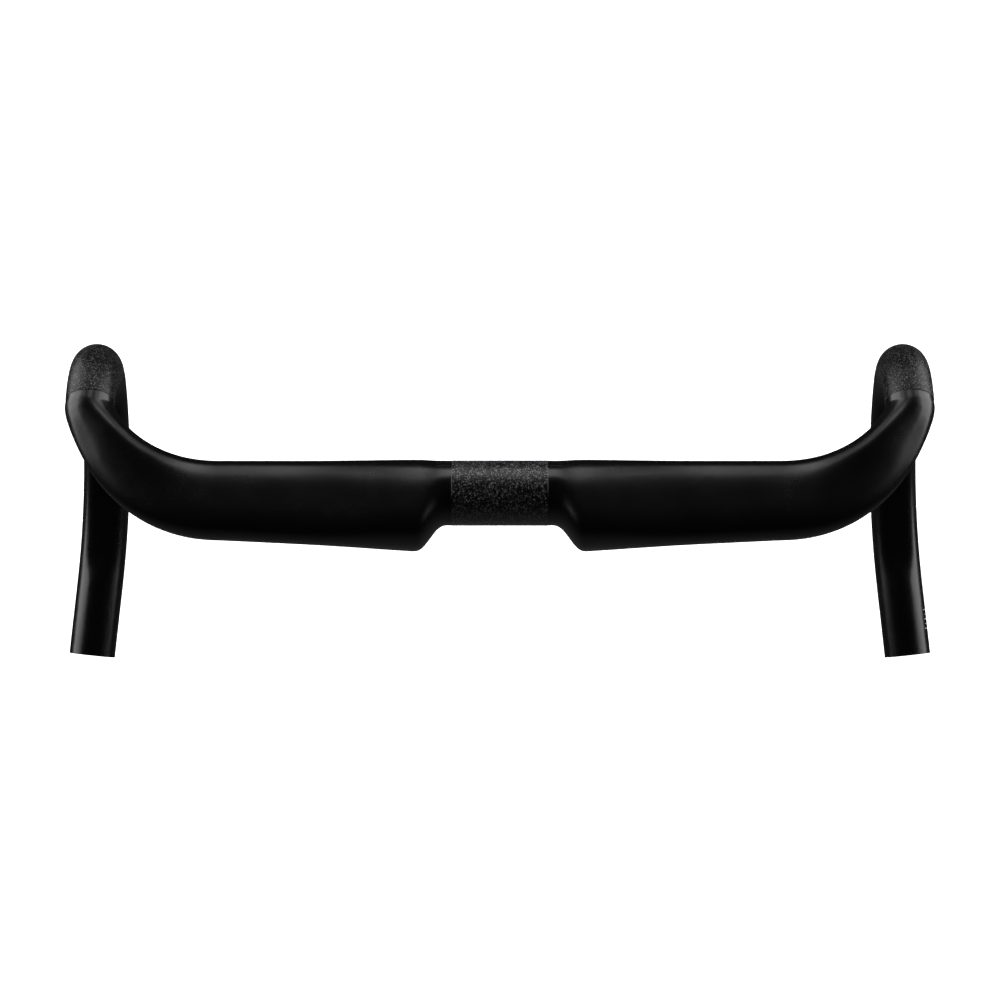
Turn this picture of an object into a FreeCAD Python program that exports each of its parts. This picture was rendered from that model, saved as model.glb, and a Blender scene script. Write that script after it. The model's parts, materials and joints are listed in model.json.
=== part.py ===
import FreeCAD, Part
import math
import os
from FreeCAD import Vector

# Aero drop handlebar in moulded carbon, in millimetres.
# +X is the rider's right, +Y is forward, +Z is up, and the origin is the centre of the stem clamp.
# Every hollow piece is a stretch of one long tube. A place on the tube is its distance along the bar
# from the middle, and its sections run from the round clamp, through the flat wing, to the round
# hook and the D-shaped drop.

# Skins
WALL = 1.7                     # carbon skin
COATING = 0.14                 # gritty coating on the clamp and the lever seats
GLUE = 0.15                    # epoxy film in the joints
SKIN_GAP = 0.03                # clearance between neighbouring layers

# Stem clamp barrel
CLAMP_RADIUS = 15.9            # over the coating, for a 31.8 mm stem
BARREL_RADIUS = CLAMP_RADIUS - COATING
BAND_HALF_WIDTH = 23.3
BARREL_END = 25.2              # where the barrel starts to turn into the wing
WING_START = 42.5              # where the wing has its full depth
WING_THIN = 105.0              # where the wing has thinned to its own height
PLY_RING_HALF_WIDTH = 24.5
PLY_RING_THICKNESS = 1.1

# Wing
WING_FRONT = 16.3              # straight front edge, ahead of the clamp's centre
WING_ROOT_DEPTH = 45.2         # front to back, beside the clamp
WING_TIP_DEPTH = 40.3          # front to back, where the bend starts
WING_HEIGHT = 20.5
WING_END = 136.0
FRONT_FULLNESS = 0.36          # how far its front half fills out beyond an ellipse
ROOT_FULLNESS = 0.22           # the same beside the clamp
REAR_FULLNESS = 0.50           # the same for the wing's rear half

# Bend, from the wing's end to the start of the ramp
HOOD_HALF_SPACING = 201.1
RAMP_START_Y = 43.8
RAMP_START_Z = 2.0
BEND_PULL_IN = 48.5            # how far the bend keeps the wing's direction
BEND_PULL_OUT = 3.5            # how far back the ramp's direction reaches
TAPER_SHARE = 0.94             # share of the bend over which the wing turns round
TAPER_HASTE = 0.68             # below 1 the wing narrows sooner after the bend's start
BEND_RIDGE = 0.42              # how much fuller the bend's section is on the inside

# Ramp, hook and drop
RAMP_SLOPE = math.radians(7.0)
RAMP_LENGTH = 5.0
HOOK_RADIUS = 34.3
HOOK_TURN = math.radians(117.0)
REAR_RADIUS = 156.0
REAR_TURN = math.radians(35.0)
DROP_LENGTH = 40.0
FLARE_RADIUS = 930.0           # outward sweep of the drop, up to its plain end
LEVER_RADIUS = 12.0
GRIP_RADIUS = 11.75
DEE_SHARE = 0.86               # distance of the D's flat from the axis, as a share of the radius
DEE_SHARPNESS = 9.0
DEE_FADE = 22.0

# Joints between the wing and the drops
JOINT_X = 105.0
SLEEVE_HALF_LENGTH = 20.0
SLEEVE_THICKNESS = 1.3

# Lever seats, measured from the start of the ramp
SEAT_START = 4.0
SEAT_END = 52.0
SEAT_PLY_THICKNESS = 0.8
SEAT_PLY_OVERHANG = 4.0

# Drop ends
PLAIN_END = 34.0               # round, straight stretch at the drop's end
COLLAR_LENGTH = 28.0
COLLAR_BORE = 9.8
COLLAR_RADIUS = GRIP_RADIUS - WALL - 2 * SKIN_GAP

# Cable openings
PORT_LENGTH = 17.0
PORT_WIDTH = 9.0
PORT_ANGLE = math.radians(40.0)    # below the rearward direction
ENTRY_LENGTH = 13.0
ENTRY_WIDTH = 7.0
ENTRY_PLACE = 62.0                 # from the start of the ramp

# Printed marks
INK = 0.07                     # height of the ink above the skin
MARK_WIDTH = 0.4
ALIGN_MARK_END = 30.5
ALIGN_MARK_ANGLES = (45.0, 55.0)   # above the forward direction
TICK_COUNT = 5
TICK_PITCH = 2.4
TICK_LONG = 20.0                   # degrees of the tube that a long tick spans
TICK_SHORT = 11.0
TICK_MIDDLE_ANGLE = 203.0
TICK_FROM_END = 13.0

# Fineness of the surfaces
RING_POINTS = 32
WING_STEP = 3.0
TUBE_STEP = 4.0
SPLINE_PASSES = 40

X_AXIS = Vector(1, 0, 0)
ORIGIN = Vector(0, 0, 0)


# ---------------------------------------------------------------- the bar's line

def smooth(t):
    """Rise from 0 to 1 with level ends."""
    t = min(max(t, 0.0), 1.0)
    return t * t * t * (10 - 15 * t + 6 * t * t)


def ahead(pitch):
    return Vector(0, math.cos(pitch), -math.sin(pitch))


def inward(pitch):
    return Vector(0, -math.sin(pitch), -math.cos(pitch))


def arc_end(start, pitch, radius, turn):
    """End of an arc that starts at a downward pitch and turns further down."""
    return start + (inward(pitch) - inward(pitch + turn)) * radius


HOOK_LENGTH = HOOK_RADIUS * HOOK_TURN
REAR_LENGTH = REAR_RADIUS * REAR_TURN
REAR_PITCH = RAMP_SLOPE + HOOK_TURN
DROP_PITCH = REAR_PITCH + REAR_TURN
RAMP_START = Vector(HOOD_HALF_SPACING, RAMP_START_Y, RAMP_START_Z)
HOOK_START = RAMP_START + ahead(RAMP_SLOPE) * RAMP_LENGTH
REAR_START = arc_end(HOOK_START, RAMP_SLOPE, HOOK_RADIUS, HOOK_TURN)
DROP_START = arc_end(REAR_START, REAR_PITCH, REAR_RADIUS, REAR_TURN)
REAR_RUN = RAMP_LENGTH + HOOK_LENGTH
DROP_RUN = REAR_RUN + REAR_LENGTH
LAST_RUN = DROP_RUN + DROP_LENGTH
PLAIN_RUN = LAST_RUN - PLAIN_END


def hook_point(run):
    """Point on the ramp, hook and drop, at a distance from the start of the ramp."""
    if run <= RAMP_LENGTH:
        point = RAMP_START + ahead(RAMP_SLOPE) * run
    elif run <= REAR_RUN:
        point = arc_end(HOOK_START, RAMP_SLOPE, HOOK_RADIUS, (run - RAMP_LENGTH) / HOOK_RADIUS)
    elif run <= DROP_RUN:
        point = arc_end(REAR_START, REAR_PITCH, REAR_RADIUS, (run - REAR_RUN) / REAR_RADIUS)
    else:
        point = DROP_START + ahead(DROP_PITCH) * (run - DROP_RUN)
    swept = min(max(run - REAR_RUN, 0.0), PLAIN_RUN - REAR_RUN)
    straight = max(run - PLAIN_RUN, 0.0)
    return point + X_AXIS * (swept * (swept / 2 + straight) / FLARE_RADIUS)


def wing_half_depth(place):
    share = (place - WING_START) / (WING_END - WING_START)
    return (WING_ROOT_DEPTH + (WING_TIP_DEPTH - WING_ROOT_DEPTH) * share) / 2


BEND_START = Vector(WING_END, WING_FRONT - wing_half_depth(WING_END), 0)
BEND_HANDLES = (
    BEND_START,
    BEND_START + X_AXIS * BEND_PULL_IN,
    RAMP_START - ahead(RAMP_SLOPE) * BEND_PULL_OUT,
    RAMP_START,
)


def bend_point(t):
    """Point on the cubic curve of the bend, for t from 0 to 1."""
    weights = ((1 - t) ** 3, 3 * t * (1 - t) ** 2, 3 * t * t * (1 - t), t ** 3)
    point = Vector(0, 0, 0)
    for weight, handle in zip(weights, BEND_HANDLES):
        point = point + handle * weight
    return point


def bend_length(steps=200):
    points = [bend_point(i / steps) for i in range(steps + 1)]
    return sum(a.distanceToPoint(b) for a, b in zip(points, points[1:]))


BEND_LENGTH = bend_length()
RAMP_PLACE = WING_END + BEND_LENGTH
BAR_END = RAMP_PLACE + LAST_RUN


def rootward(place):
    """0 in the clamp barrel and 1 once the wing has its full section."""
    return smooth((abs(place) - BARREL_END) / (WING_START - BARREL_END))


def bendward(place):
    """0 in the wing and 1 once the tube is round."""
    return smooth((place - WING_END) / (TAPER_SHARE * BEND_LENGTH)) ** TAPER_HASTE


def half_depth(place):
    wing = wing_half_depth(min(abs(place), WING_END))
    depth = BARREL_RADIUS + (wing - BARREL_RADIUS) * rootward(place)
    return depth + (tube_radius(place) - depth) * bendward(place)


def thinned(place):
    """0 in the clamp barrel and 1 once the wing is down to its own height."""
    return smooth((abs(place) - BARREL_END) / (WING_THIN - BARREL_END))


def half_height(place):
    height = BARREL_RADIUS + (WING_HEIGHT / 2 - BARREL_RADIUS) * thinned(place)
    return height + (tube_radius(place) - height) * bendward(place)


def ridge(place):
    """Fuller inside of the bend: it rises after the wing and is gone at the ramp."""
    share = (place - WING_END) / BEND_LENGTH
    return BEND_RIDGE * smooth(2 * share) * smooth(2 * (1 - share))


def fullness(place, cosine):
    """How far the section fills out beyond an ellipse, at a share of the way across it."""
    amount = REAR_FULLNESS
    if cosine > 0:
        amount = ROOT_FULLNESS + (FRONT_FULLNESS - ROOT_FULLNESS) * thinned(place)
    return amount * rootward(place) * (1 - bendward(place)) * cosine * cosine


def tube_radius(place):
    past_seat = (place - RAMP_PLACE - SEAT_END) / (REAR_RUN - SEAT_END)
    return LEVER_RADIUS + (GRIP_RADIUS - LEVER_RADIUS) * smooth(past_seat)


def dee_weight(place):
    """1 along the D-shaped stretch, 0 in the hook and at the round end."""
    from_start = smooth((place - RAMP_PLACE - REAR_RUN + DEE_FADE) / (2 * DEE_FADE))
    to_end = smooth((BAR_END - PLAIN_END - place) / DEE_FADE)
    return from_start * to_end


def bar_point(place):
    if abs(place) <= WING_END:
        front = BARREL_RADIUS + (WING_FRONT - BARREL_RADIUS) * rootward(place)
        return Vector(place, front - half_depth(place), 0)
    if place <= RAMP_PLACE:
        return bend_point((place - WING_END) / BEND_LENGTH)
    return hook_point(place - RAMP_PLACE)


def frame_at(place):
    """Forward direction of the bar, then the two directions across it."""
    if abs(place) <= WING_END:
        along = X_AXIS
    else:
        step = 0.05
        along = bar_point(min(place + step, BAR_END)) - bar_point(place - step)
        along.normalize()
    side = Vector(-1, 0, 0)
    if place < RAMP_PLACE:
        side = Vector(-along.y, along.x, 0)
    side = side - along * side.dot(along)
    side.normalize()
    return along, side, along.cross(side)


# ---------------------------------------------------------------- sections and skins

def dee(height, flat):
    """Soften a height below the axis so that it levels off at the flat."""
    share = abs(height) / flat
    return -flat * share / (1 + share ** DEE_SHARPNESS) ** (1 / DEE_SHARPNESS)


def section_point(place, angle, inset):
    """Point on the tube's skin, moved in by inset. Angle 0 is the wing's front edge."""
    cosine = math.cos(angle)
    shape = 1 + ridge(place) * cosine + fullness(place, cosine)
    across = (half_depth(place) - inset) * cosine
    height = (half_height(place) - inset) * math.sin(angle) * shape
    if height < 0:
        flat = DEE_SHARE * tube_radius(place) - inset
        height += dee_weight(place) * (dee(height, flat) - height)
    _, side, up = frame_at(place)
    return bar_point(place) + side * across + up * height


def ring_poles(place, inset):
    """Control points of a closed cubic curve through the section's points."""
    points = []
    for i in range(RING_POINTS):
        points.append(section_point(place, 2 * math.pi * i / RING_POINTS, inset))
    poles = points
    for _ in range(SPLINE_PASSES):
        count = len(poles)
        neighbours = [poles[i - 1] + poles[(i + 1) % count] for i in range(count)]
        poles = [(point * 6 - pair) * 0.25 for point, pair in zip(points, neighbours)]
    return poles


def places_between(start, end, step):
    count = max(4, round((end - start) / step))
    return [start + (end - start) * i / count for i in range(count + 1)]


def skin(places, inset):
    """Closed cubic surface through the tube's sections."""
    rings = [ring_poles(place, inset) for place in places]
    centres = [bar_point(place) for place in places]
    runs = [0.0]
    for a, b in zip(centres, centres[1:]):
        runs.append(runs[-1] + a.distanceToPoint(b))
    grid = []
    for column in zip(*rings):
        line = Part.BSplineCurve()
        line.interpolate(Points=list(column), Parameters=runs)
        grid.append(line.getPoles())
    surface = Part.BSplineSurface()
    surface.buildFromPolesMultsKnots(
        grid,
        [1] * (RING_POINTS + 1),
        line.getMultiplicities(),
        list(range(RING_POINTS + 1)),
        line.getKnots(),
        True,
        False,
        3,
        3,
    )
    return surface


def closed_solid(faces):
    shell = Part.makeShell(faces)
    shell.sewShape()
    solid = Part.makeSolid(shell)
    if solid.Volume < 0:
        solid.reverse()
    if not solid.isValid():
        raise ValueError("open or broken solid")
    return solid


def tube(start, end, outer, inner, step):
    """Hollow piece of the bar between two places and two insets."""
    places = places_between(start, end, step)
    skins = [skin(places, outer), skin(places, inner)]
    faces = [surface.toShape() for surface in skins]
    for end_of in (0, 1):
        rims = [Part.Wire([surface.vIso(surface.bounds()[2 + end_of]).toShape()]) for surface in skins]
        faces.append(Part.makeFace(rims, "Part::FaceMakerBullseye"))
    return closed_solid(faces)


def patch(start, end, low_angle, high_angle):
    """Thin ink mark on the skin, between two places and two angles."""
    sheets = []
    for inset in (-SKIN_GAP, -INK):
        grid = []
        for place in places_between(start, end, max(end - start, 1.0) / 4):
            angles = (low_angle + (high_angle - low_angle) * i / 4 for i in range(5))
            grid.append([section_point(place, angle, inset) for angle in angles])
        surface = Part.BSplineSurface()
        surface.interpolate(grid)
        sheets.append(surface)
    faces = [sheet.toShape() for sheet in sheets]
    limits = sheets[0].bounds()
    for i in (0, 1):
        faces.append(Part.makeRuledSurface(*[s.uIso(limits[i]).toShape() for s in sheets]))
        faces.append(Part.makeRuledSurface(*[s.vIso(limits[2 + i]).toShape() for s in sheets]))
    return closed_solid(faces)


def ring(radius, bore, half_width):
    """Plain tube about the clamp's axis."""
    start = Vector(-half_width, 0, 0)
    outside = Part.makeCylinder(radius, 2 * half_width, start, X_AXIS)
    return outside.cut(Part.makeCylinder(bore, 2 * half_width, start, X_AXIS))


def slot_tool(length, width, low, high, centre, along, out):
    """Round-ended cutter that stands along the out direction, from low to high."""
    across = out.cross(along)
    reach = (length - width) / 2
    ends = [centre + out * low + along * (sign * reach) for sign in (-1, 1)]
    half = across * (width / 2)
    first_arc = Part.Arc(ends[0] + half, ends[0] - along * (width / 2), ends[0] - half)
    last_arc = Part.Arc(ends[1] - half, ends[1] + along * (width / 2), ends[1] + half)
    edges = [
        first_arc.toShape(),
        Part.LineSegment(ends[0] - half, ends[1] - half).toShape(),
        last_arc.toShape(),
        Part.LineSegment(ends[1] + half, ends[0] + half).toShape(),
    ]
    return Part.Face(Part.Wire(edges)).extrude(out * (high - low))


def left_of(shape):
    return shape.mirror(ORIGIN, X_AXIS)


# ---------------------------------------------------------------- the pieces

def cable_port():
    out = Vector(0, -math.cos(PORT_ANGLE), -math.sin(PORT_ANGLE))
    return slot_tool(PORT_LENGTH, PORT_WIDTH, 6, 22, ORIGIN, X_AXIS, out)


def cable_entry():
    place = RAMP_PLACE + ENTRY_PLACE
    along, _, up = frame_at(place)
    return slot_tool(ENTRY_LENGTH, ENTRY_WIDTH, 5, 16, bar_point(place), along, up)


def centre_section():
    return tube(-JOINT_X, JOINT_X, 0, WALL, WING_STEP).cut(cable_port())


def right_drop():
    return tube(JOINT_X, BAR_END, 0, WALL, TUBE_STEP).cut(cable_entry())


def right_joint_sleeve():
    outer = WALL + GLUE
    start = JOINT_X - SLEEVE_HALF_LENGTH
    return tube(start, JOINT_X + SLEEVE_HALF_LENGTH, outer, outer + SLEEVE_THICKNESS, WING_STEP)


def right_bond_film():
    start = JOINT_X - SLEEVE_HALF_LENGTH
    end = JOINT_X + SLEEVE_HALF_LENGTH
    return tube(start, end, WALL + SKIN_GAP, WALL + GLUE - SKIN_GAP, WING_STEP)


def right_lever_plies():
    start = RAMP_PLACE + SEAT_START - SEAT_PLY_OVERHANG
    end = RAMP_PLACE + SEAT_END + SEAT_PLY_OVERHANG
    outer = WALL + 2 * SKIN_GAP
    return tube(start, end, outer, outer + SEAT_PLY_THICKNESS, TUBE_STEP)


def right_lever_grip_band():
    start = RAMP_PLACE + SEAT_START
    return tube(start, RAMP_PLACE + SEAT_END, -COATING, -SKIN_GAP, TUBE_STEP)


def right_end_collar():
    along, _, _ = frame_at(BAR_END)
    start = bar_point(BAR_END) - along * COLLAR_LENGTH
    outside = Part.makeCylinder(COLLAR_RADIUS, COLLAR_LENGTH, start, along)
    return outside.cut(Part.makeCylinder(COLLAR_BORE, COLLAR_LENGTH, start, along))


def clamp_plies():
    radius = BARREL_RADIUS - WALL - SKIN_GAP
    return ring(radius, radius - PLY_RING_THICKNESS, PLY_RING_HALF_WIDTH).cut(cable_port())


def stem_clamp_grip_band():
    return ring(CLAMP_RADIUS, BARREL_RADIUS + SKIN_GAP, BAND_HALF_WIDTH).cut(cable_port())


def clamp_alignment_marks():
    half = MARK_WIDTH / 2 / BARREL_RADIUS
    marks = []
    for start in (-ALIGN_MARK_END, BAND_HALF_WIDTH):
        end = start + ALIGN_MARK_END - BAND_HALF_WIDTH
        for angle in ALIGN_MARK_ANGLES:
            middle = math.radians(angle)
            marks.append(patch(start, end, middle - half, middle + half))
    return Part.makeCompound(marks)


def right_size_marks():
    marks = []
    for i in range(TICK_COUNT):
        place = BAR_END - TICK_FROM_END - i * TICK_PITCH
        spread = math.radians(TICK_SHORT if i % 2 else TICK_LONG) / 2
        middle = math.radians(TICK_MIDDLE_ANGLE)
        marks.append(patch(place, place + MARK_WIDTH, middle - spread, middle + spread))
    return Part.makeCompound(marks)


def export(name, shape):
    shape.exportStep(os.path.join("parts", name + ".step"))


def main():
    os.makedirs("parts", exist_ok=True)
    export("centre_section", centre_section())
    export("clamp_reinforcement_ring", clamp_plies())
    export("stem_clamp_grip_band", stem_clamp_grip_band())
    export("clamp_alignment_marks", clamp_alignment_marks())
    export("right_size_marks", right_size_marks())
    paired = {
        "drop": right_drop(),
        "joint_sleeve": right_joint_sleeve(),
        "bond_film": right_bond_film(),
        "lever_reinforcement": right_lever_plies(),
        "lever_grip_band": right_lever_grip_band(),
        "end_collar": right_end_collar(),
    }
    for name, shape in paired.items():
        export("right_" + name, shape)
        export("left_" + name, left_of(shape))


main()
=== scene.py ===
import json
import math

import bmesh
import bpy
from mathutils import Matrix, Vector, noise


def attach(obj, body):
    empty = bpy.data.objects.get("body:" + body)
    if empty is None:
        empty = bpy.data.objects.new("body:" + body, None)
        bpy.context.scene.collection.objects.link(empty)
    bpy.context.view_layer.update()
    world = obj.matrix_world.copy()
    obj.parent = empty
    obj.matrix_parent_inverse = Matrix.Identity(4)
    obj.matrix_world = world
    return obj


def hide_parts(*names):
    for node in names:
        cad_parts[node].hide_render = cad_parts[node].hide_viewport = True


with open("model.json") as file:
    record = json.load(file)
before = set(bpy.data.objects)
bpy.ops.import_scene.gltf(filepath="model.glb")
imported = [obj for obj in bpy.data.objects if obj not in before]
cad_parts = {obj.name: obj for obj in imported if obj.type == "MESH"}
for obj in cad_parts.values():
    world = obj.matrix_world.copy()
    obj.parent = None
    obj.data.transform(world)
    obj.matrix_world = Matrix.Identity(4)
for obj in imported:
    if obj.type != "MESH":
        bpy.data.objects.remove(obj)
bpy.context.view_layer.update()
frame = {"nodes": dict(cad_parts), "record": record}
nodes = frame["nodes"]
MM = 0.001

# ---------------------------------------------------------------- the bar's own sizes, in metres

CLAMP_RADIUS = 15.9 * MM
BARREL_RADIUS = 15.76 * MM
BAND_HALF_WIDTH = 23.3 * MM
PORT_LENGTH = 17.0 * MM
PORT_WIDTH = 9.0 * MM
PORT_ANGLE = math.radians(40.0)

LEVER_RADIUS = 12.0 * MM
HOOD_X = 201.1 * MM
RAMP_START = Vector((HOOD_X, 43.8 * MM, 2.0 * MM))
RAMP_SLOPE = math.radians(7.0)
RAMP_LENGTH = 5.0 * MM
HOOK_RADIUS = 34.3 * MM
SEAT_START = 4.0 * MM
SEAT_END = 52.0 * MM

# Grit of the friction coating
GRIT_STEP = 0.25 * MM          # spacing of the mesh
GRAIN = 0.80 * MM              # distance between grains
GRAIN_HEIGHT = 0.09 * MM
COAT_BED = 0.05 * MM           # coating between the grains
COAT_ROOT = 0.06 * MM          # how far the coating's inside lies below the skin
LIP_WIDTH = 0.45 * MM          # rounded edge of the coating
INNER_ROWS = 24                # rows of the mesh on the coating's smooth inside
CUTTER_SIDES = 48


# ---------------------------------------------------------------- node material helpers

def new_material(name):
    material = bpy.data.materials.new(name)
    material.use_nodes = True
    tree = material.node_tree
    return material, tree, tree.nodes["Principled BSDF"]


def link(tree, out_socket, in_socket):
    tree.links.new(out_socket, in_socket)


def object_coordinates(tree, scale=(1, 1, 1), rotation=(0, 0, 0)):
    source = tree.nodes.new("ShaderNodeTexCoord")
    mapping = tree.nodes.new("ShaderNodeMapping")
    mapping.inputs["Scale"].default_value = scale
    mapping.inputs["Rotation"].default_value = rotation
    link(tree, source.outputs["Object"], mapping.inputs["Vector"])
    return mapping.outputs["Vector"]


def noise_value(tree, vector, scale, detail=3.0, roughness=0.55):
    node = tree.nodes.new("ShaderNodeTexNoise")
    node.inputs["Scale"].default_value = scale
    node.inputs["Detail"].default_value = detail
    node.inputs["Roughness"].default_value = roughness
    link(tree, vector, node.inputs["Vector"])
    return node.outputs["Fac"]


def remap(tree, value, low, high, to_low, to_high):
    node = tree.nodes.new("ShaderNodeMapRange")
    for name, number in (("From Min", low), ("From Max", high), ("To Min", to_low), ("To Max", to_high)):
        node.inputs[name].default_value = number
    link(tree, value, node.inputs["Value"])
    return node.outputs["Result"]


def math_node(tree, operation, first, second):
    node = tree.nodes.new("ShaderNodeMath")
    node.operation = operation
    for socket, value in zip(node.inputs, (first, second)):
        if isinstance(value, (int, float)):
            socket.default_value = value
        else:
            link(tree, value, socket)
    return node.outputs["Value"]


def colour_ramp(tree, value, stops):
    node = tree.nodes.new("ShaderNodeValToRGB")
    ramp = node.color_ramp
    while len(ramp.elements) < len(stops):
        ramp.elements.new(0.5)
    for element, (place, colour) in zip(ramp.elements, stops):
        element.position = place
        element.color = (*colour, 1)
    link(tree, value, node.inputs["Fac"])
    return node.outputs["Color"]


def bump(tree, height, distance, strength, under=None):
    node = tree.nodes.new("ShaderNodeBump")
    node.inputs["Strength"].default_value = strength
    node.inputs["Distance"].default_value = distance
    link(tree, height, node.inputs["Height"])
    if under is not None:
        link(tree, under, node.inputs["Normal"])
    return node.outputs["Normal"]


# ---------------------------------------------------------------- materials

def carbon_lacquer():
    """Satin black lacquer over carbon: faint fibre streaks, orange peel and fine haze."""
    material, tree, shader = new_material("satin_carbon")
    plain = object_coordinates(tree)
    streaked = object_coordinates(tree, scale=(1.0, 0.07, 0.3))
    streaks = noise_value(tree, streaked, 2600, detail=3)
    clouds = noise_value(tree, plain, 60, detail=5)
    peel = noise_value(tree, plain, 420, detail=2)
    mixed = math_node(tree, "ADD", math_node(tree, "MULTIPLY", streaks, 0.6),
                      math_node(tree, "MULTIPLY", clouds, 0.4))
    colour = colour_ramp(tree, mixed, ((0.3, (0.0005, 0.0005, 0.0006)),
                                       (0.7, (0.0018, 0.0018, 0.0020))))
    link(tree, colour, shader.inputs["Base Color"])
    link(tree, remap(tree, clouds, 0.3, 0.7, 0.24, 0.28), shader.inputs["Roughness"])
    fine = bump(tree, streaks, 0.01 * MM, 0.05)
    link(tree, bump(tree, peel, 0.04 * MM, 0.15, fine), shader.inputs["Normal"])
    shader.inputs["IOR"].default_value = 1.5
    return material


def grip_coating(name, grain_tone_and_painted_glint, sheen):
    """Gritty friction coating: black binder with pale grains; the grains' pale colour is partly their own
    tone and partly a painted glint.
    """
    material, tree, shader = new_material(name)
    plain = object_coordinates(tree)
    grains = tree.nodes.new("ShaderNodeTexVoronoi")
    grains.inputs["Scale"].default_value = 2300
    link(tree, plain, grains.inputs["Vector"])
    split = tree.nodes.new("ShaderNodeSeparateColor")
    link(tree, grains.outputs["Color"], split.inputs["Color"])
    fine = noise_value(tree, plain, 2600, detail=3)
    # Pale grain colour: partly the grit's own tone, partly a painted glint
    colour = colour_ramp(tree, split.outputs["Red"], ((0.50, (0.001, 0.001, 0.0011)),
                                                      (0.78, (0.012, 0.012, 0.013)),
                                                      (0.96, (grain_tone_and_painted_glint,) * 3)))
    link(tree, colour, shader.inputs["Base Color"])
    link(tree, remap(tree, fine, 0.3, 0.7, 0.20, 0.34), shader.inputs["Roughness"])
    shader.inputs["IOR"].default_value = sheen
    coarse = bump(tree, grains.outputs["Distance"], 0.10 * MM, 0.7)
    link(tree, bump(tree, fine, 0.05 * MM, 0.6, coarse), shader.inputs["Normal"])
    return material


def inner_carbon():
    """Bare carbon on the inside: twill weave printed by the bladder, under dull resin."""
    material, tree, shader = new_material("inner_carbon")
    plain = object_coordinates(tree)
    warp = tree.nodes.new("ShaderNodeTexWave")
    warp.bands_direction = "DIAGONAL"
    warp.inputs["Scale"].default_value = 260
    warp.inputs["Distortion"].default_value = 1.5
    link(tree, plain, warp.inputs["Vector"])
    clouds = noise_value(tree, plain, 300, detail=4)
    colour = colour_ramp(tree, warp.outputs["Fac"], ((0.2, (0.010, 0.010, 0.011)),
                                                     (0.8, (0.035, 0.035, 0.037))))
    link(tree, colour, shader.inputs["Base Color"])
    link(tree, remap(tree, clouds, 0.3, 0.7, 0.42, 0.62), shader.inputs["Roughness"])
    link(tree, bump(tree, warp.outputs["Fac"], 0.05 * MM, 0.4), shader.inputs["Normal"])
    return material


def epoxy():
    material, tree, shader = new_material("cured_epoxy")
    clouds = noise_value(tree, object_coordinates(tree), 240, detail=4)
    colour = colour_ramp(tree, clouds, ((0.3, (0.12, 0.10, 0.07)), (0.7, (0.22, 0.19, 0.13))))
    link(tree, colour, shader.inputs["Base Color"])
    link(tree, remap(tree, clouds, 0.3, 0.7, 0.25, 0.45), shader.inputs["Roughness"])
    return material


def ink(name, low, high, roughness):
    material, tree, shader = new_material(name)
    wear = noise_value(tree, object_coordinates(tree), 3000, detail=3)
    colour = colour_ramp(tree, wear, ((0.3, (low,) * 3), (0.7, (high,) * 3)))
    link(tree, colour, shader.inputs["Base Color"])
    link(tree, remap(tree, wear, 0.3, 0.7, roughness - 0.08, roughness + 0.08), shader.inputs["Roughness"])
    return material


# ---------------------------------------------------------------- grit bands

def ahead(pitch):
    return Vector((0, math.cos(pitch), -math.sin(pitch)))


def inward(pitch):
    return Vector((0, -math.sin(pitch), -math.cos(pitch)))


def clamp_frame(place):
    """Centre of the clamp barrel at a distance along X, and the two directions across it."""
    return Vector((place, 0, 0)), Vector((0, 1, 0)), Vector((0, 0, 1))


def hook_frame(run):
    """The same on the right ramp and hook, at a distance from the start of the ramp."""
    pitch = RAMP_SLOPE + max(run - RAMP_LENGTH, 0.0) / HOOK_RADIUS
    centre = RAMP_START + ahead(RAMP_SLOPE) * min(run, RAMP_LENGTH)
    centre += (inward(RAMP_SLOPE) - inward(pitch)) * HOOK_RADIUS
    return centre, Vector((-1, 0, 0)), -inward(pitch)


def grain_height(point):
    """Height of the coating above its bed: rounded grains of uneven size."""
    distances, points = noise.voronoi(point / GRAIN)
    size = 0.45 + 0.55 * noise.cell(points[0] * 7.3)
    dome = max(0.0, 1.0 - (distances[0] / 0.75) ** 2)
    ripple = 0.25 * noise.noise(point / (0.35 * GRAIN))
    return GRAIN_HEIGHT * max(0.0, size * dome + ripple)


def band_mesh(name, frame_at, start, end, skin_radius):
    """Closed sleeve of coating round the bar: grains outside, rounded lips, plain inside."""
    rows = round((end - start) / GRIT_STEP)
    columns = round(2 * math.pi * skin_radius / GRIT_STEP)
    mesh = bmesh.new()
    grid = []
    for row in range(rows + 1):
        place = start + (end - start) * row / rows
        centre, side, up = frame_at(place)
        from_edge = min(place - start, end - place) / LIP_WIDTH
        lip = math.sqrt(max(0.0, 1 - (1 - min(from_edge, 1.0)) ** 2))
        ring = []
        for column in range(columns):
            angle = 2 * math.pi * column / columns
            out = side * math.cos(angle) + up * math.sin(angle)
            coat = COAT_BED + grain_height(centre + out * skin_radius)
            ring.append(mesh.verts.new(centre + out * (skin_radius + lip * coat)))
        grid.append(ring)
    for row in range(INNER_ROWS, -1, -1):
        centre, side, up = frame_at(start + (end - start) * row / INNER_ROWS)
        ring = []
        for column in range(columns):
            angle = 2 * math.pi * column / columns
            out = side * math.cos(angle) + up * math.sin(angle)
            ring.append(mesh.verts.new(centre + out * (skin_radius - COAT_ROOT)))
        grid.append(ring)
    for first, second in zip(grid, grid[1:] + grid[:1]):
        for column in range(columns):
            following = (column + 1) % columns
            mesh.faces.new((first[column], first[following], second[following], second[column]))
    bmesh.ops.recalc_face_normals(mesh, faces=mesh.faces)
    data = bpy.data.meshes.new(name)
    mesh.to_mesh(data)
    mesh.free()
    data.polygons.foreach_set("use_smooth", [True] * len(data.polygons))
    return data


def add_object(name, data):
    piece = bpy.data.objects.new(name, data)
    bpy.context.scene.collection.objects.link(piece)
    return piece


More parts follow.
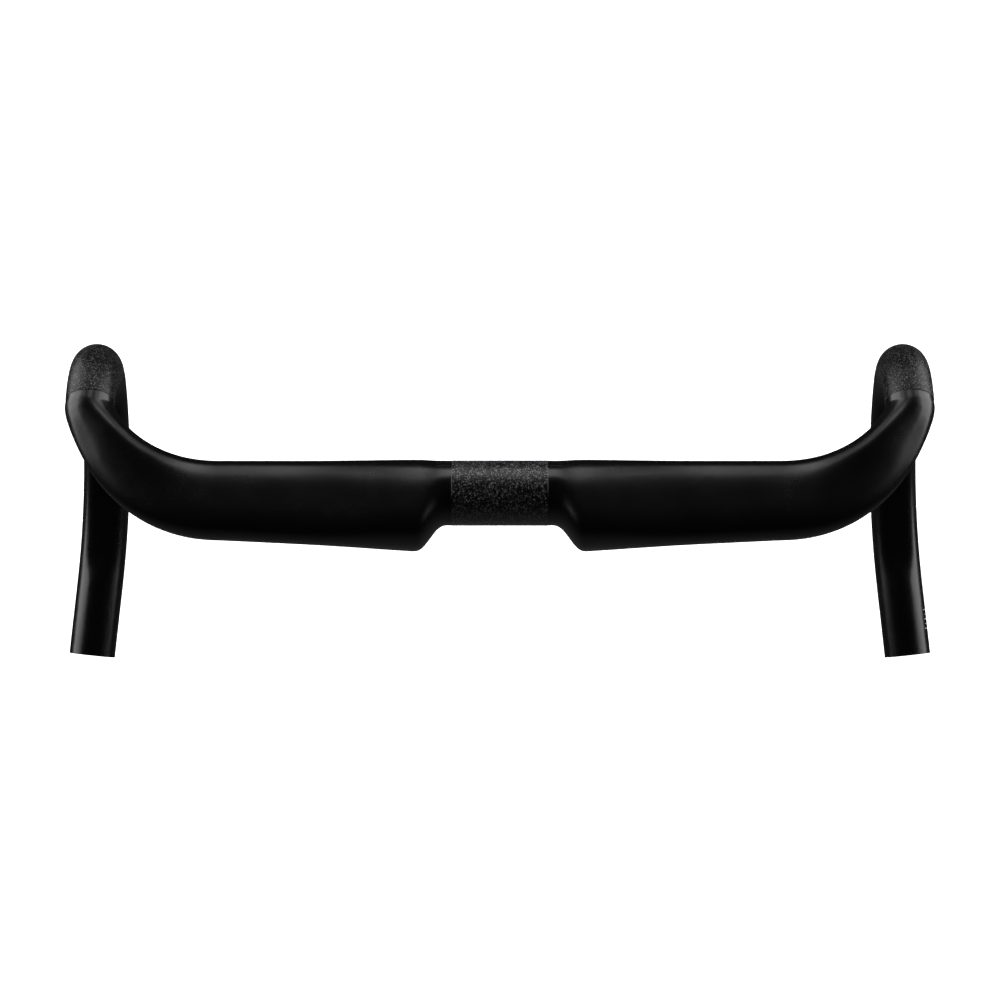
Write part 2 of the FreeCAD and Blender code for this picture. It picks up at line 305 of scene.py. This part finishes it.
def port_cutter():
    """Round-ended block through the cable port."""
    out = Vector((0, -math.cos(PORT_ANGLE), -math.sin(PORT_ANGLE)))
    across = out.cross(Vector((1, 0, 0)))
    reach = (PORT_LENGTH - PORT_WIDTH) / 2
    mesh = bmesh.new()
    loops = []
    for distance in (BARREL_RADIUS * 0.5, CLAMP_RADIUS * 1.3):
        loop = []
        for i in range(CUTTER_SIDES):
            angle = 2 * math.pi * (i + 0.5) / CUTTER_SIDES
            x = math.copysign(reach, math.cos(angle)) + PORT_WIDTH / 2 * math.cos(angle)
            y = PORT_WIDTH / 2 * math.sin(angle)
            loop.append(mesh.verts.new(out * distance + Vector((x, 0, 0)) + across * y))
        loops.append(loop)
    for i in range(CUTTER_SIDES):
        j = (i + 1) % CUTTER_SIDES
        mesh.faces.new((loops[0][i], loops[0][j], loops[1][j], loops[1][i]))
    mesh.faces.new(loops[0])
    mesh.faces.new(loops[1])
    bmesh.ops.recalc_face_normals(mesh, faces=mesh.faces)
    data = bpy.data.meshes.new("port_cutter")
    mesh.to_mesh(data)
    mesh.free()
    return add_object("port_cutter", data)


def cut(piece, cutter):
    modifier = piece.modifiers.new("cut", "BOOLEAN")
    modifier.operation = "DIFFERENCE"
    modifier.solver = "EXACT"
    modifier.object = cutter
    bpy.context.view_layer.update()
    evaluated = piece.evaluated_get(bpy.context.evaluated_depsgraph_get())
    piece.data = bpy.data.meshes.new_from_object(evaluated)
    piece.modifiers.clear()
    bpy.data.objects.remove(cutter)


def finish_piece(piece, material, node):
    piece.data.materials.clear()
    piece.data.materials.append(material)
    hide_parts(node)
    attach(piece, "root")


def build_clamp_band(material):
    data = band_mesh("clamp_grit", clamp_frame, -BAND_HALF_WIDTH, BAND_HALF_WIDTH, BARREL_RADIUS)
    piece = add_object("clamp_grit", data)
    cut(piece, port_cutter())
    finish_piece(piece, material, "stem_clamp_grip_band")


def build_lever_bands(material):
    data = band_mesh("right_lever_grit", hook_frame, SEAT_START, SEAT_END, LEVER_RADIUS)
    mirrored = data.copy()
    mirrored.transform(Matrix.Scale(-1, 4, Vector((1, 0, 0))))
    mirrored.flip_normals()
    for side, mesh in (("right", data), ("left", mirrored)):
        piece = add_object(side + "_lever_grit", mesh)
        finish_piece(piece, material, side + "_lever_grip_band")


# ---------------------------------------------------------------- camera, light and floor

VIEW_ELEVATION = math.radians(67.0)
VIEW_DISTANCE = 1.59
PIXELS_PER_METRE = 2060.0
FRAME_PIXELS = 1000.0
SENSOR_WIDTH = 36.0
STAGE_RADIUS = 8.0
FLOOR_HEIGHT = -0.55
AIM_OFFSET = Vector((0.1 * MM, -3.1 * MM, -1.3 * MM))

# Name, place, the point it faces, width, height, watts
FRONT_LIGHTS = (
    ("front_softbox", (0, 1.58, 1.12), (0, 0, 0), 0.72, 1.25, 2.4),
    ("front_core", (0, 1.50, 1.10), (0, 0, 0), 0.40, 1.0, 2.1),
)
# The same for the right side, facing a point on the X axis; the left side mirrors them
SIDE_LIGHTS = (
    ("_front_softbox", (0.82, 1.50, 0.95), 0.0, 0.5, 1.0, 3.2),
    ("_softbox", (1.25, 0.55, 0.22), 0.2, 1.55, 1.30, 18.5),
    ("_high_softbox", (1.10, 0.45, 0.95), 0.2, 0.8, 0.4, 0.8),
)


def build_camera():
    data = bpy.data.cameras.new("camera")
    data.sensor_width = SENSOR_WIDTH
    data.lens = SENSOR_WIDTH * PIXELS_PER_METRE * VIEW_DISTANCE / FRAME_PIXELS
    camera = bpy.data.objects.new("camera", data)
    back = Vector((0, -math.cos(VIEW_ELEVATION), math.sin(VIEW_ELEVATION)))
    camera.location = AIM_OFFSET + back * VIEW_DISTANCE
    camera.rotation_euler = (math.pi / 2 - VIEW_ELEVATION, 0, 0)
    bpy.context.scene.collection.objects.link(camera)
    bpy.context.scene.camera = camera


def soft_light(name, place, aim, width, height, power):
    data = bpy.data.lights.new(name, "AREA")
    data.shape = "RECTANGLE"
    data.size = width
    data.size_y = height
    data.energy = power
    light = bpy.data.objects.new(name, data)
    light.location = place
    light.rotation_euler = (Vector(aim) - Vector(place)).to_track_quat("-Z", "Y").to_euler()
    bpy.context.scene.collection.objects.link(light)


def staged(name, mesh, material):
    """Floor or backdrop: seen by the camera, and kept out of the bar's reflections."""
    data = bpy.data.meshes.new(name)
    mesh.to_mesh(data)
    mesh.free()
    data.materials.append(material)
    piece = add_object(name, data)
    piece.visible_diffuse = False
    piece.visible_glossy = False
    piece.visible_shadow = False
    return piece


def build_stage():
    material, tree, shader = new_material("pale_stage")
    clouds = noise_value(tree, object_coordinates(tree), 3, detail=2)
    colour = colour_ramp(tree, clouds, ((0.3, (0.90, 0.90, 0.90)), (0.7, (0.93, 0.93, 0.93))))
    link(tree, colour, shader.inputs["Base Color"])
    link(tree, colour, shader.inputs["Emission Color"])
    shader.inputs["Emission Strength"].default_value = 1.1
    shader.inputs["Roughness"].default_value = 0.9
    plane = bmesh.new()
    bmesh.ops.create_grid(plane, x_segments=8, y_segments=8, size=STAGE_RADIUS)
    staged("floor", plane, material).location.z = FLOOR_HEIGHT
    dome = bmesh.new()
    bmesh.ops.create_icosphere(dome, subdivisions=4, radius=STAGE_RADIUS)
    staged("backdrop", dome, material)


def build_lights():
    for row in FRONT_LIGHTS:
        soft_light(*row)
    for side, sign in (("left", -1), ("right", 1)):
        for name, (x, y, z), aim, width, height, power in SIDE_LIGHTS:
            soft_light(side + name, (sign * x, y, z), (sign * aim, 0, 0), width, height, power)


def build_world():
    """Dark studio overhead, with a little light coming up from below and behind."""
    world = bpy.data.worlds.new("studio")
    world.use_nodes = True
    tree = world.node_tree
    source = tree.nodes.new("ShaderNodeTexCoord")
    facing = tree.nodes.new("ShaderNodeVectorMath")
    facing.operation = "DOT_PRODUCT"
    facing.inputs[1].default_value = (0, -0.6, -0.8)
    link(tree, source.outputs["Generated"], facing.inputs[0])
    link(tree, remap(tree, facing.outputs["Value"], 0.3, 0.9, 0.015, 0.10),
         tree.nodes["Background"].inputs["Strength"])
    tree.nodes["Background"].inputs["Color"].default_value = (1, 1, 1, 1)
    bpy.context.scene.world = world
    bpy.context.scene.view_settings.view_transform = "Standard"


# ---------------------------------------------------------------- putting it together

def paint(node, material):
    for slot in nodes[node].material_slots:
        slot.link = "OBJECT"
        slot.material = material


def main():
    by_slot = {
        "carbon_skin": carbon_lacquer(),
        "grip_coating": grip_coating("clamp_coating", grain_tone_and_painted_glint=0.28, sheen=1.57),
        "inner_carbon": inner_carbon(),
        "epoxy": epoxy(),
        "dark_ink": ink("dark_ink", 0.001, 0.003, 0.6),
        "pale_ink": ink("pale_ink", 0.50, 0.68, 0.5),
    }
    for part in frame["record"]["subparts"]:
        paint(part["node"], by_slot[part["material_slot"]])
    build_clamp_band(by_slot["grip_coating"])
    # The lever bands take a darker copy of the same coating, with dimmer grains and a lower IOR: this is
    # painted shade, not a different coating
    build_lever_bands(grip_coating("lever_coating_shaded_copy", grain_tone_and_painted_glint=0.15, sheen=1.30))
    build_camera()
    build_stage()
    build_lights()
    build_world()


main()
